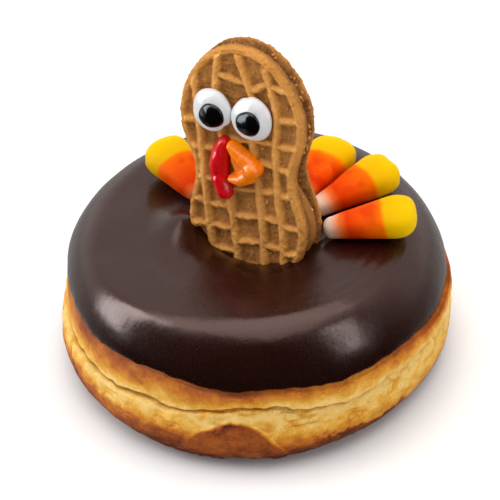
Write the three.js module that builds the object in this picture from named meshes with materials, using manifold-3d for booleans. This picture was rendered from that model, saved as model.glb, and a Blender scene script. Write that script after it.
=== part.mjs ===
// A ring doughnut dressed as a turkey: a chocolate-iced ring, a peanut-shaped sandwich biscuit
// stood in the hole as the bird's body, piped eyes, beak and wattle, and candy corn tail feathers.
// Millimetres, +Z up. The turkey looks along -Y.
import * as THREE from "three";
import { mergeVertices } from "three/addons/utils/BufferGeometryUtils.js";
import Module from "manifold-3d";

const wasm = await Module();
wasm.setup();

// Doughnut ring
const RING_RADIUS = 48.7;
const FLAT_SIDE_DEPTH = 1.5;
const FLAT_SIDE = THREE.MathUtils.degToRad(-15);
const FLAT_SIDE_SPREAD = 0.55;
const RING_HEIGHT = 37.2;
const RING_STEPS = 52;
const FOOT_RADIUS = 41.2;
const LOWER_BULGE_HEIGHT = 9.4;
const CREASE_DEPTH = 0.9;
const CREASE_HEIGHT = 18.6;
const UPPER_BULGE_RADIUS = 47.4;
const UPPER_BULGE_LEAN = 0.9;
const UPPER_BULGE_HEIGHT = 21.2;
const OUT_OF_ROUND = 0.006;
const HOLE_FLARE_RADIUS = 15.5;
const HOLE_FLARE_HEIGHT = 6;

// Icing shell over the top of the ring
const ICING_THICKNESS = 1.3;
const SHOULDER_RADIUS = 47.7;
const SHOULDER_HEIGHT = 17;
const CREST_RADIUS = 35;
const WIDE_CREST = 5;
const WIDE_TURN = THREE.MathUtils.degToRad(-115);
const WIDE_SPREAD = 0.5;
const THROAT_RADIUS = 10.2;
const THROAT_HEIGHT = 32.2;
const FUNNEL_POWER = 3.6;
const ICING_HOLE_RADIUS = 9.2;
const ICING_HOLE_DEPTH = 5.5;
const FUNNEL_TILT = 1.2;
const TILT_START = 0.4;
const TILT_END = 0.9;
const BANKS = [
  { turn: -148, spread: 0.42, height: 3.2 },
  { turn: -95, spread: 0.35, height: 0.9 },
  { turn: -12, spread: 0.35, height: 2.2 },
];
const BANK_START = 0.4;
const BANK_END = 0.78;
const EDGE_HEIGHT = 24.4;
const EDGE_TILT = 2.4;
const EDGE_RIPPLES = [{ waves: 5, start: 0.6, height: 0.45 }, { waves: 9, start: 2, height: 0.3 }];
const EDGE_SAG = 0.9;
const SAG_TURN = THREE.MathUtils.degToRad(-72);
const SAG_SPREAD = 0.22;
const HIGH_SIDE = THREE.MathUtils.degToRad(-160);
const SHOULDER_STEPS = 5;
const FUNNEL_STEPS = 5;

// Sandwich biscuit
const BISCUIT_LENGTH = 64.4;
const BISCUIT_WIDTH = 33;
const BISCUIT_THICKNESS = 12;
const BISCUIT_CENTRE = [1.4, -0.3, 53.4];
const BISCUIT_LEAN = 12;
const BISCUIT_TILT = 6.8;
const OUTLINE_POWER = 2.1;
const WAIST_DEPTH = 0.28;
const WAIST_SPAN = 0.31;
const UPPER_LOBE_GAIN = 0.06;
const OUTLINE_POINTS = 40;
const BACK_SHIFT = [-1, -1.1];
const BACK_TURN = 3.65;
const WAFER_THICKNESS = 4.7;
const RELIEF_HEIGHT = 0.9;
const RIM_WIDTH = 1.6;
const RIM_DROP = 0.4;
const RIM_BEVEL = 0.8;
const FILLING_INSET = 1.7;

// A wafer's rounded edge from its plain face up to the rim: inset and height
const WAFER_EDGE = [[1.6, 0], [0.5, 0.7], [0, 2.3], [0.3, 3.6]];

// Lattice pressed into each wafer: four long ridges and rows of short ribs between them
const RIDGE_PLACES = [-10.1, -4.1, 3.5, 9];
const RIDGE_SLANTS = [-0.05, -0.08, -0.04, -0.01];
const RIDGE_HALF_WIDTH = 0.95;
const RIDGE_REACH = 29.5;
const RIDGE_STEPS = 7;
const RIB_PITCH = 6.6;
const RIB_ROWS = [-3, -2, -1, 0, 1, 2, 3, 4];
const RIB_LANE_OFFSETS = [-1.7, -2.1, -3.5, -3.5, -4.1];
const RIB_HALF_WIDTH = 0.8;
const BAR_ROOT = 0.4;

// Piped features on the face, in the biscuit's own plane: across, up
const EYE_BALLS = [
  { side: "left", at: [-6.7, 16], half: [4.75, 5.2], pupil: [-6, 15.3], turn: 0.4 },
  { side: "right", at: [3.6, 15.2], half: [4.95, 5.3], pupil: [3.6, 14.7], turn: 2.1 },
];
const EYE_HEIGHT = 2.1;
const PUPIL_HALF = [3.1, 3];
const PUPIL_HEIGHT = 1;
const WATTLE_LINE = [[-4, 8.1], [-5.3, 4.8], [-5.7, 0.8], [-4.5, -4]];
const WATTLE_HALF_WIDTH = 2.3;
const WATTLE_HEIGHT = 2.5;
const BEAK_LINES = [
  { line: [[-1.2, 8], [0.9, 5.5], [3.7, 3]], half: 2.3, height: 3 },
  { line: [[4, 3.2], [2.2, 0.8], [-1.8, -0.3]], half: 2, height: 2.6 },
  { line: [[-0.6, 6.2], [0.4, 3.8], [1.7, 1.5]], half: 1.8, height: 2.2 },
];

// Candy corn tail feathers: where each one lies, its heading from tip to broad end, and its rise
const CANDY_LENGTH = 23;
const CANDY_TIP = { half: 2, height: 4.6 };
const CANDY_END = { half: 7.4, height: 8.8 };
const CANDY_SIDES = 12;
const CANDY_SHARES = [0, 0.04, 0.14, 0.45, 0.76, 0.88, 0.95, 0.985, 1];
const TIP_SHARE = 0.14;
const END_SHARE = 0.76;
const CANDIES = [
  { at: [27.9, 7, 41], heading: 30, rise: 8 },
  { at: [19, 17.6, 40.8], heading: 56, rise: 11 },
  { at: [8.3, 19.5, 40.7], heading: 88, rise: 7 },
  { at: [-8, 21.3, 40.6], heading: 118, rise: 11 },
  { at: [-21.3, 4.3, 41.2], heading: 152, rise: 14 },
];

// Clearance left between neighbouring pieces, and between the ring and its icing
const FIT_GAP = 0.3;
const ICING_GAP = 0.45;

const rad = THREE.MathUtils.degToRad;
const blend = (x, from, to) => THREE.MathUtils.smoothstep(x, from, to);

// Closed surfaces from rings of points

function geometryFrom(points, triangles) {
  const geometry = new THREE.BufferGeometry().setFromPoints(points);
  geometry.setIndex(triangles);
  return geometry;
}

// Rings of points joined into a ring-shaped body, closed both ways.
function hoopGeometry(rings) {
  const across = rings[0].length;
  const triangles = [];
  for (let i = 0; i < rings.length; i += 1) {
    const next = (i + 1) % rings.length;
    for (let j = 0; j < across; j += 1) {
      const on = (j + 1) % across;
      const [a, b] = [i * across + j, next * across + j];
      const [c, d] = [next * across + on, i * across + on];
      triangles.push(a, b, c, a, c, d);
    }
  }
  return geometryFrom(rings.flat(), triangles);
}

// Rings of points stacked into a body with a fan of faces at each end.
function stackGeometry(rings, firstCap, lastCap) {
  const around = rings[0].length;
  const points = [...rings.flat(), firstCap, lastCap];
  const [first, last] = [points.length - 2, points.length - 1];
  const top = (rings.length - 1) * around;
  const triangles = [];
  for (let j = 0; j < around; j += 1) {
    const on = (j + 1) % around;
    triangles.push(first, on, j, last, top + j, top + on);
    for (let i = 0; i < top; i += around) {
      triangles.push(i + j, i + on, i + around + on);
      triangles.push(i + j, i + around + on, i + around + j);
    }
  }
  return geometryFrom(points, triangles);
}

// Joining and cutting

function solidOf(geometry) {
  const bare = geometry.clone();
  bare.deleteAttribute("normal");
  bare.deleteAttribute("uv");
  const merged = mergeVertices(bare, 1e-4);
  const mesh = new wasm.Mesh({
    numProp: 3,
    vertProperties: merged.attributes.position.array,
    triVerts: new Uint32Array(merged.index.array),
  });
  return new wasm.Manifold(mesh);
}

function geometryOf(solid) {
  const mesh = solid.getMesh();
  const geometry = new THREE.BufferGeometry();
  geometry.setAttribute("position", new THREE.BufferAttribute(mesh.vertProperties, 3));
  geometry.setIndex(new THREE.BufferAttribute(mesh.triVerts, 1));
  return geometry;
}

function cutAway(geometry, cutter) {
  return geometryOf(solidOf(geometry).subtract(cutter));
}

// Ring and icing sections: [distance from the axis, height]

// A smooth hump of height 1 round the ring, centred on one turn.
function hump(turn, centre, spread) {
  const away = Math.atan2(Math.sin(turn - centre), Math.cos(turn - centre));
  return Math.exp(-((away / spread) ** 2));
}

function edgeHeightAt(turn) {
  let height = EDGE_HEIGHT + EDGE_TILT * Math.cos(turn - HIGH_SIDE);
  for (const ripple of EDGE_RIPPLES) {
    height += ripple.height * Math.cos(ripple.waves * turn + ripple.start);
  }
  return height - EDGE_SAG * hump(turn, SAG_TURN, SAG_SPREAD);
}

function roundnessAt(turn) {
  return 1 + OUT_OF_ROUND * (0.6 * Math.cos(2 * turn + 1) + 0.4 * Math.cos(3 * turn - 0.7));
}

// Where the crest runs: further out on the left of the front.
function crestAt(turn) {
  return CREST_RADIUS + WIDE_CREST * hump(turn, WIDE_TURN, WIDE_SPREAD);
}

// How far the icing is banked up against the biscuit.
function bankAt(turn) {
  return BANKS.reduce((sum, bank) => sum + bank.height * hump(turn, rad(bank.turn), bank.spread), 0);
}

// The icing's outer face from its lower edge, over the crest, and down into the hole.
function topCurve(turn) {
  const crest = crestAt(turn);
  const crestRise = RING_HEIGHT - SHOULDER_HEIGHT;
  const start = Math.asin((edgeHeightAt(turn) - SHOULDER_HEIGHT) / crestRise);
  const curve = [];
  for (let i = 0; i < SHOULDER_STEPS; i += 1) {
    const angle = start + ((Math.PI / 2 - start) * i) / SHOULDER_STEPS;
    const out = crest + (SHOULDER_RADIUS - crest) * Math.cos(angle);
    curve.push([out, SHOULDER_HEIGHT + crestRise * Math.sin(angle)]);
  }
  for (let i = 0; i <= FUNNEL_STEPS; i += 1) {
    const inward = i / FUNNEL_STEPS;
    const out = crest + (THROAT_RADIUS - crest) * inward;
    const drop = (RING_HEIGHT - THROAT_HEIGHT) * inward ** FUNNEL_POWER;
    const tilt = FUNNEL_TILT * Math.cos(turn - HIGH_SIDE) * blend(inward, TILT_START, TILT_END);
    const bank = bankAt(turn) * blend(inward, BANK_START, BANK_END);
    curve.push([out, RING_HEIGHT - drop + tilt + bank]);
  }
  const floor = curve[curve.length - 1][1] - ICING_HOLE_DEPTH;
  curve.push([ICING_HOLE_RADIUS, floor + ICING_HOLE_DEPTH * 0.6]);
  curve.push([ICING_HOLE_RADIUS - 0.2, floor]);
  return curve;
}

// The same curve moved square to itself, inwards for a positive distance.
function inset(curve, distanceAt) {
  return curve.map(([out, up], i) => {
    const before = curve[Math.max(i - 1, 0)];
    const after = curve[Math.min(i + 1, curve.length - 1)];
    const [run, rise] = [after[0] - before[0], after[1] - before[1]];
    const scale = distanceAt(i) / Math.hypot(run, rise);
    return [out - rise * scale, up + run * scale];
  });
}

function ringFrom(section, turn) {
  const grow = roundnessAt(turn);
  return section.map(([out, up]) => {
    const reach = out * grow;
    return new THREE.Vector3(reach * Math.cos(turn), reach * Math.sin(turn), up);
  });
}

function ringRings(sectionAt) {
  const turns = Array.from({ length: RING_STEPS }, (_, i) => (2 * Math.PI * i) / RING_STEPS);
  return turns.map((turn) => ringFrom(sectionAt(turn), turn));
}

function icingSection(turn) {
  const outer = topCurve(turn);
  const last = outer.length - 1;
  const thin = (i) => (i === 0 || i === last ? 0.45 * ICING_THICKNESS : ICING_THICKNESS);
  const inner = inset(outer, thin).reverse();
  const lip = [outer[0][0] - 0.55 * ICING_THICKNESS, outer[0][1] - 0.3 * ICING_THICKNESS];
  return [lip, ...outer, ...inner.slice(0, -1)];
}

function doughSection(turn) {
  const covered = inset(topCurve(turn), () => ICING_THICKNESS + ICING_GAP);
  const [edgeRadius, edgeHeight] = covered[0];
  const flat = FLAT_SIDE_DEPTH * hump(turn, FLAT_SIDE, FLAT_SIDE_SPREAD);
  const lower = RING_RADIUS - flat;
  const foot = FOOT_RADIUS - flat;
  const upper = UPPER_BULGE_RADIUS - UPPER_BULGE_LEAN * Math.cos(turn - HIGH_SIDE);
  const section = [];
  for (const angle of [0, 25, 45, 65, 90]) {
    const out = foot + (lower - foot) * Math.sin(rad(angle));
    section.push([out, LOWER_BULGE_HEIGHT * (1 - Math.cos(rad(angle)))]);
  }
  section.push([lower - 0.5, LOWER_BULGE_HEIGHT + 5]);
  section.push([lower - 1.2, CREASE_HEIGHT - 1.2]);
  section.push([Math.min(lower - 1, upper) - CREASE_DEPTH, CREASE_HEIGHT]);
  section.push([upper, UPPER_BULGE_HEIGHT - 1]);
  section.push([upper - 0.3, (UPPER_BULGE_HEIGHT + edgeHeight - 1) / 2]);
  section.push([(upper + edgeRadius) / 2 - 0.2, edgeHeight - 0.9]);
  section.push(...covered);
  const wall = covered[covered.length - 1][0];
  section.push([wall, HOLE_FLARE_HEIGHT + 5]);
  section.push([wall + 1.4, HOLE_FLARE_HEIGHT / 2]);
  section.push([HOLE_FLARE_RADIUS, 0]);
  return section;
}

// Biscuit: a peanut outline, its wafers, their lattice and the filling between them

function halfWidthAt(share) {
  const lobe = (1 - share * share) ** (1 / OUTLINE_POWER);
  const waist = 1 - WAIST_DEPTH * Math.exp(-((share / WAIST_SPAN) ** 2));
  return lobe * waist * (1 + UPPER_LOBE_GAIN * share);
}

const shares = Array.from({ length: 199 }, (_, i) => (i - 99) / 100);
const WIDEST = Math.max(...shares.map(halfWidthAt));

function reachAt(up) {
  const share = THREE.MathUtils.clamp((2 * up) / BISCUIT_LENGTH, -0.9999, 0.9999);
  return ((BISCUIT_WIDTH / 2) * halfWidthAt(share)) / WIDEST;
}

// Outline points, anticlockwise, moved inwards by a distance.
function peanutOutline(inwards) {
  const outline = [];
  for (let i = 0; i < OUTLINE_POINTS; i += 1) {
    const angle = (2 * Math.PI * (i + 0.5)) / OUTLINE_POINTS;
    const up = (BISCUIT_LENGTH / 2) * Math.sin(angle);
    outline.push([Math.sign(Math.cos(angle)) * reachAt(up), up]);
  }
  return outline.map(([across, up], i) => {
    const before = outline[(i + OUTLINE_POINTS - 1) % OUTLINE_POINTS];
    const after = outline[(i + 1) % OUTLINE_POINTS];
    const run = [after[0] - before[0], after[1] - before[1]];
    const scale = inwards / Math.hypot(...run);
    return [across - run[1] * scale, up + run[0] * scale];
  });
}

// A slab with the peanut outline, from levels of [inset, height].
function peanutSlab(levels) {
  const ring = ([inwards, height]) => {
    return peanutOutline(inwards).map(([across, up]) => new THREE.Vector3(across, up, height));
  };
  const bottom = new THREE.Vector3(0, 0, levels[0][1]);
  const top = new THREE.Vector3(0, 0, levels[levels.length - 1][1]);
  return stackGeometry(levels.map(ring), bottom, top);
}

// A raised bar on a face: stations of [across, up, half width], on a floor at a height.
function barGeometry(stations, floor, height) {
  const rings = stations.map(([across, up, half], i) => {
    const before = stations[Math.max(i - 1, 0)];
    const after = stations[Math.min(i + 1, stations.length - 1)];
    const along = new THREE.Vector2(after[0] - before[0], after[1] - before[1]).normalize();
    const profile = [[-half, -BAR_ROOT], [half, -BAR_ROOT], [0, height]];
    return profile.map(([aside, rise]) => {
      return new THREE.Vector3(across - along.y * aside, up + along.x * aside, floor + rise);
    });
  });
  const middle = ([a, b, c]) => a.clone().add(b).add(c).divideScalar(3);
  return stackGeometry(rings, middle(rings[0]), middle(rings[rings.length - 1]));
}

const ridgeAt = (place, up) => RIDGE_PLACES[place] + RIDGE_SLANTS[place] * up;

function ridgeStations(place) {
  const stations = [];
  for (let i = 0; i <= RIDGE_STEPS; i += 1) {
    const up = RIDGE_REACH * ((2 * i) / RIDGE_STEPS - 1);
    const across = ridgeAt(place, up);
    if (Math.abs(across) <= reachAt(up) - RIM_WIDTH / 2) {
      stations.push([across, up, RIDGE_HALF_WIDTH]);
    }
  }
  return stations;
}

// A rib crosses one lane, between two ridges or between a ridge and the rim; null where none fits.
function ribStations(lane, row) {
  const up = RIB_PITCH * row + RIB_LANE_OFFSETS[lane];
  const edge = reachAt(up) - RIM_WIDTH / 2;
  const left = lane === 0 ? -edge : ridgeAt(lane - 1, up);
  const right = lane === RIDGE_PLACES.length ? edge : ridgeAt(lane, up);
  const inside = right < edge + 0.1 && left > -edge - 0.1;
  if (right - left < 2 || !inside || Math.abs(up) > RIDGE_REACH) {
    return null;
  }
  const thin = 0.45 * RIB_HALF_WIDTH;
  const middle = [(left + right) / 2, up, RIB_HALF_WIDTH];
  return [[left, up + 0.3, thin], middle, [right, up - 0.3, thin]];
}

// One wafer, its pressed face upwards and its plain face at height 0.
function waferGeometry() {
  const rimTop = WAFER_THICKNESS - RIM_DROP;
  const floor = WAFER_THICKNESS - RELIEF_HEIGHT;
  const tray = [[RIM_BEVEL, rimTop], [RIM_WIDTH, rimTop], [RIM_WIDTH + RIM_BEVEL, floor]];
  let solid = solidOf(peanutSlab([...WAFER_EDGE, ...tray]));
  for (let place = 0; place < RIDGE_PLACES.length; place += 1) {
    solid = solid.add(solidOf(barGeometry(ridgeStations(place), floor, RELIEF_HEIGHT)));
  }
  for (let lane = 0; lane < RIB_LANE_OFFSETS.length; lane += 1) {
    for (const row of RIB_ROWS) {
      const stations = ribStations(lane, row);
      if (stations) {
        solid = solid.add(solidOf(barGeometry(stations, floor, 0.85 * RELIEF_HEIGHT)));
      }
    }
  }
  return geometryOf(solid);
}

function fillingGeometry() {
  const thickness = BISCUIT_THICKNESS - 2 * WAFER_THICKNESS - 2 * FIT_GAP;
  return peanutSlab([[FILLING_INSET, 0], [FILLING_INSET, thickness]]);
}

// Piped blobs and strokes

// How much of its full height a dome has at a share of its radius; its rim is a low step.
function domeShare(reach) {
  return 0.12 + 0.88 * Math.max(0, 1 - reach ** 2.4) ** 0.6;
}

// A dome on a round outline, over a bottom that may follow another surface.
function domeGeometry({ at, half, turn, height, bottomAt }) {
  const sides = 14;
  const reaches = [0.55, 0.85, 1];
  const ring = (reach, lift) => {
    return Array.from({ length: sides }, (_, i) => {
      const angle = (2 * Math.PI * i) / sides;
      const grow = reach * (1 + 0.025 * Math.cos(3 * angle + turn));
      const across = at[0] + half[0] * grow * Math.cos(angle);
      const up = at[1] + half[1] * grow * Math.sin(angle);
      return new THREE.Vector3(across, up, bottomAt(across, up) + lift);
    });
  };
  const below = reaches.map((reach) => ring(reach, 0));
  const above = reaches.map((reach) => ring(reach, height * domeShare(reach)));
  const rings = [...below, ...above.reverse()];
  const base = new THREE.Vector3(at[0], at[1], bottomAt(...at));
  const crown = new THREE.Vector3(at[0], at[1], base.z + height);
  return stackGeometry(rings, base, crown);
}

function eyeBall(eye) {
  return domeGeometry({ ...eye, height: EYE_HEIGHT, bottomAt: () => FIT_GAP });
}

function pupilOf(eye) {
  const bottomAt = (across, up) => {
    const reach = Math.hypot((across - eye.at[0]) / eye.half[0], (up - eye.at[1]) / eye.half[1]);
    return 2.2 * FIT_GAP + EYE_HEIGHT * domeShare(reach);
  };
  const turn = eye.turn + 1;
  return domeGeometry({ at: eye.pupil, half: PUPIL_HALF, turn, height: PUPIL_HEIGHT, bottomAt });
}

// A piped stroke along a line of [across, up] points, flat below and round above.
function strokeGeometry(line, half, height) {
  const points = line.map(([across, up]) => new THREE.Vector3(across, up, 0));
  const curve = new THREE.CatmullRomCurve3(points);
  const ringAt = (share) => {
    const at = curve.getPointAt(share);
    const along = curve.getTangentAt(share);
    const swell = 0.35 + 0.65 * Math.sin(Math.PI * (0.06 + 0.88 * share)) ** 0.5;
    return Array.from({ length: 8 }, (_, i) => {
      const angle = (Math.PI * (i - 0.5)) / 6;
      const aside = half * swell * Math.cos(angle);
      const rise = height * swell * Math.max(0, Math.sin(angle));
      return new THREE.Vector3(at.x - along.y * aside, at.y + along.x * aside, FIT_GAP + rise);
    });
  };
  const capAt = (share) => curve.getPointAt(share).setZ(FIT_GAP + 0.12 * height);
  return stackGeometry([0, 0.12, 0.33, 0.56, 0.8, 1].map(ringAt), capAt(0), capAt(1));
}

function beakGeometry() {
  const strokes = BEAK_LINES.map(({ line, half, height }) => {
    return solidOf(strokeGeometry(line, half, height));
  });
  return geometryOf(strokes.reduce((whole, stroke) => whole.add(stroke)));
}

// Candy corn: a blunt wedge, narrow at its tip, along +X

function candyGeometry() {
  const round = (value) => Math.sign(value) * Math.abs(value) ** 0.8;
  const ringAt = (share) => {
    const tip = Math.sqrt(Math.max(0.04, 1 - (1 - Math.min(share / TIP_SHARE, 1)) ** 2));
    const past = Math.max(share - END_SHARE, 0) / (1 - END_SHARE);
    const size = tip * Math.max(0.02, 1 - past ** 2.4) ** (1 / 3);
    const half = THREE.MathUtils.lerp(CANDY_TIP.half, CANDY_END.half, share) * size;
    const height = THREE.MathUtils.lerp(CANDY_TIP.height, CANDY_END.height, share) * size;
    const along = CANDY_LENGTH * (share - 0.5);
    return Array.from({ length: CANDY_SIDES }, (_, i) => {
      const angle = (2 * Math.PI * i) / CANDY_SIDES;
      const rise = (height / 2) * round(Math.sin(angle));
      return new THREE.Vector3(along, half * round(Math.cos(angle)), rise);
    });
  };
  const tipCap = new THREE.Vector3(-CANDY_LENGTH / 2 - 0.05, 0, 0);
  const endCap = new THREE.Vector3(CANDY_LENGTH / 2 + 0.05, 0, 0);
  return stackGeometry(CANDY_SHARES.map(ringAt), tipCap, endCap);
}

// Materials

const matt = (color, roughness) => {
  return new THREE.MeshStandardMaterial({ color, roughness, metalness: 0 });
};
const doughMaterial = () => matt(0xe2b05c, 0.75);
const chocolateMaterial = () => matt(0x2f1a17, 0.3);
const waferMaterial = () => matt(0xb67f47, 0.85);
const fillingMaterial = () => matt(0xc08a4e, 0.8);
const whiteIcingMaterial = () => matt(0xf2f0ee, 0.4);
const blackIcingMaterial = () => matt(0x111216, 0.15);
const redIcingMaterial = () => matt(0xc4121a, 0.2);
const orangeIcingMaterial = () => matt(0xf08a1a, 0.25);
const candyMaterial = () => matt(0xff8a1c, 0.4);

function addMesh(parent, name, geometry, material) {
  const mesh = new THREE.Mesh(geometry, material);
  mesh.name = name;
  parent.add(mesh);
  return mesh;
}

// Placing

const turkey = new THREE.Group();

const face = new THREE.Group();
face.position.set(...BISCUIT_CENTRE);
face.rotation.set(rad(90 - BISCUIT_LEAN), 0, rad(BISCUIT_TILT));
turkey.add(face);

// The back wafer has slipped and swung a little against the front one.
const slipped = new THREE.Group();
slipped.position.set(...BACK_SHIFT, 0);
slipped.rotation.z = rad(BACK_TURN);
face.add(slipped);

// Room for the biscuit in the ring: both wafers' outlines and the clearance round them.
function biscuitPocket() {
  const slab = (from, to) => peanutSlab([[-FIT_GAP, from], [-FIT_GAP, to]]);
  const half = BISCUIT_THICKNESS / 2 + FIT_GAP;
  turkey.updateMatrixWorld(true);
  const front = slab(-1, half).applyMatrix4(face.matrixWorld);
  const back = slab(-half, 1).applyMatrix4(slipped.matrixWorld);
  return solidOf(front).add(solidOf(back));
}

const pocket = biscuitPocket();
const dough = cutAway(hoopGeometry(ringRings(doughSection)), pocket);
const icing = cutAway(hoopGeometry(ringRings(icingSection)), pocket);
addMesh(turkey, "dough", dough, doughMaterial());
addMesh(turkey, "icing", icing, chocolateMaterial());

const frontWafer = addMesh(face, "wafer_front", waferGeometry(), waferMaterial());
frontWafer.position.z = BISCUIT_THICKNESS / 2 - WAFER_THICKNESS;

const backWafer = addMesh(slipped, "wafer_back", waferGeometry(), waferMaterial());
backWafer.position.z = WAFER_THICKNESS - BISCUIT_THICKNESS / 2;
backWafer.rotation.y = Math.PI;

const filling = addMesh(face, "filling", fillingGeometry(), fillingMaterial());
const fillingBase = WAFER_THICKNESS - BISCUIT_THICKNESS / 2 + FIT_GAP;
filling.position.set(BACK_SHIFT[0] / 2, BACK_SHIFT[1] / 2, fillingBase);
filling.rotation.z = rad(BACK_TURN / 2);

const features = new THREE.Group();
features.position.z = BISCUIT_THICKNESS / 2;
face.add(features);
for (const eye of EYE_BALLS) {
  addMesh(features, `eye_${eye.side}`, eyeBall(eye), whiteIcingMaterial());
  addMesh(features, `pupil_${eye.side}`, pupilOf(eye), blackIcingMaterial());
}
const wattle = strokeGeometry(WATTLE_LINE, WATTLE_HALF_WIDTH, WATTLE_HEIGHT);
addMesh(features, "wattle", wattle, redIcingMaterial());
addMesh(features, "beak", beakGeometry(), orangeIcingMaterial());

// Each candy is pressed up to the biscuit, so what would reach into it is cut off.
CANDIES.forEach(({ at, heading, rise }, i) => {
  const place = new THREE.Object3D();
  place.position.set(...at);
  place.rotation.set(0, -rad(rise), rad(heading), "ZYX");
  place.updateMatrix();
  const candy = cutAway(candyGeometry().applyMatrix4(place.matrix), pocket);
  addMesh(turkey, `candy_${i + 1}`, candy, candyMaterial());
});

// Origin at the middle of the base.
const box = new THREE.Box3().setFromObject(turkey, true);
const middle = box.getCenter(new THREE.Vector3());
turkey.position.set(-middle.x, -middle.y, -box.min.z);

export default turkey;
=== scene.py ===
"""Turkey doughnut: the fine surfaces, materials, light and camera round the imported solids.

Lengths are in millimetres until a mesh is made, and +Z is up. The turkey looks along -Y.
"""
import itertools
from math import cos, pi, radians, sin
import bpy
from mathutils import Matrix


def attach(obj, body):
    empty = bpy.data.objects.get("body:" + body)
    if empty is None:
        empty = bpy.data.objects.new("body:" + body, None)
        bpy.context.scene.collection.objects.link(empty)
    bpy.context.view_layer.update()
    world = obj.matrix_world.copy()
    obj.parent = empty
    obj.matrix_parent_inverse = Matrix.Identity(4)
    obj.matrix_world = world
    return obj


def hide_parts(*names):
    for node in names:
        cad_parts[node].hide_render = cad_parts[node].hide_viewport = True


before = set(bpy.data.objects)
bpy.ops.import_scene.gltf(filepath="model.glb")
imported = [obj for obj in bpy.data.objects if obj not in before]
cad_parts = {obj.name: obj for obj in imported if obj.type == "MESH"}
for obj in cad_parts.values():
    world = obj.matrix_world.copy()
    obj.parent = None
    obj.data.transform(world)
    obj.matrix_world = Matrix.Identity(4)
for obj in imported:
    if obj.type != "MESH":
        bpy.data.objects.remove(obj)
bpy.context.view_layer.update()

from types import SimpleNamespace

import bmesh
import bpy
import numpy as np
from mathutils import Matrix, Vector

MM = 0.001
TINY = 1e-9
SEED = 20
LATTICE_SIZE = 64
NOISE_RADIUS = 48
RING_AXIS = (0.1386, 0.0727)

# Doughnut ring, as in the solids
RING_RADIUS = 48.7
FLAT_SIDE_DEPTH = 1.5
FLAT_SIDE = radians(-15)
FLAT_SIDE_SPREAD = 0.55
RING_HEIGHT = 37.2
FOOT_RADIUS = 41.2
LOWER_BULGE_HEIGHT = 9.4
UPPER_BULGE_RADIUS = 47.4
UPPER_BULGE_LEAN = 0.9
OUT_OF_ROUND = 0.006
HOLE_FLARE_RADIUS = 15.5
HOLE_FLARE_HEIGHT = 6
DOUGH_TURNS = 660

# The crease round the ring, as degrees and height
CREASE_LINE = [
    (-175, 17.4), (-150, 15.6), (-130, 14.7), (-118, 15.1), (-109, 14.7), (-102, 15.9), (-96, 16.9),
    (-90, 16.1), (-84, 16.1), (-75, 17.9), (-60, 19.3), (-53, 18.3), (-47, 17.0), (-40, 16.5),
    (-33, 15.6), (-28, 16.0), (-22, 17.2), (-14, 17.6), (-4, 18.1), (12, 18.3), (40, 17.6),
    (70, 18.6), (100, 17.9), (130, 18.7), (155, 18.1),
]
CREASE_WAVER = [(5, 0.4), (1.9, 0.3), (0.8, 0.12)]
NOTCH_WIDTH = 0.4
NOTCH_DEPTH = 0.55
NOTCH_WAVER = [(6, 0.4)]
# The lips of the crease as height above it, width and swell
CREASE_LIPS = [(0.8, 0.5, 0.3), (-0.9, 0.6, 0.24)]

# The torn crust at the front that rises into the pale band, as degrees and height of its edge
CRUST_FLAP = [(-87, 3), (-83, 8), (-79, 11.6), (-74, 14.1), (-69, 15.7), (-65, 15.5), (-62, 14), (-59, 11.5)]
CRUST_FLAP += [(-56, 8), (-53, 3)]
NO_FLAP = -5
FLAP_WAVER = [(1.2, 0.25)]
FLAP_SOFTNESS = 0.8
FLAP_BROWN = 0.76
TORN_DEGREES = (-72, -64)

# The crust's fine relief, as noise layers of size and depth
SIDE_LUMPS = [(9, 0.28), (3, 0.12), (1.2, 0.05)]
SIDE_SINK = 0.16
RIM_LUMPS = [(1.6, 0.22), (0.8, 0.16)]
FOLD_LUMPS = [(3.1, 0.34)]
WRINKLE_FLATNESS = 1.9
FOLDS = (1.7, 7)

# How brown the crust is at each level, where 0 is the foot, 1 the crease and 2 the icing's edge, and
# on the right of the front, between the degrees below, with a crisper edge to the brown foot
BROWN_BANDS = [(-1, 0.5), (-0.1, 0.95), (0.1, 1), (0.25, 0.92), (0.4, 0.78), (0.52, 0.56), (0.64, 0.26)]
BROWN_BANDS += [(0.78, 0.06), (1, 0), (1.12, 0.1), (1.32, 0.34), (1.6, 0.58), (2.1, 0.7)]
CRISP_BANDS = [(-1, 0.5), (-0.1, 0.95), (0.1, 1), (0.38, 0.9), (0.5, 0.78), (0.55, 0.36), (0.63, 0.26)]
CRISP_BANDS += [(0.78, 0.08), (1, 0), (1.12, 0.06), (1.32, 0.28), (1.6, 0.52), (2.1, 0.64)]
CRISP_FROM = (-50, -40)
CRISP_TO = (-30, -10)
BAND_WAVER = [(4.5, 0.06), (1.7, 0.06), (0.8, 0.05)]
BROWN_PATCHES = [(10, 0.15), (3.5, 0.12)]
BROWNER_SIDE = radians(-140)

# Steps between the control sections of the ring, from the foot round to the hole's flare
DOUGH_STEPS = [6, 5, 6, 12, 14, 12, 10, 9, 12, 9, 4] + [2] * 15 + [4, 3, 3, 6]

# Icing
ICING_THICKNESS = 1.3
ICING_UNDERSIDE = 0.97
DOUGH_UNDER_ICING = 0.92
SHOULDER_RADIUS = 47.7
SHOULDER_HEIGHT = 17
CREST_RADIUS = 35
WIDE_CREST = 5
WIDE_TURN = radians(-115)
WIDE_SPREAD = 0.5
THROAT_RADIUS = 10.2
THROAT_HEIGHT = 32.2
FUNNEL_POWER = 3.6
ICING_HOLE_RADIUS = 9.2
ICING_HOLE_DEPTH = 5.5
# The wall of the icing's hole as how much wider than its radius, and the share of the depth left
ICING_HOLE_WALL = [(0.25, 0.85), (0, 0.6), (-0.1, 0.3), (-0.2, 0)]
BEAD_LENGTH = 4.2
BEAD_POWER = 2.6
ICING_LUMPS = [(14, 0.16), (6, 0.07)]
FUNNEL_TILT = 1.2
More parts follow.
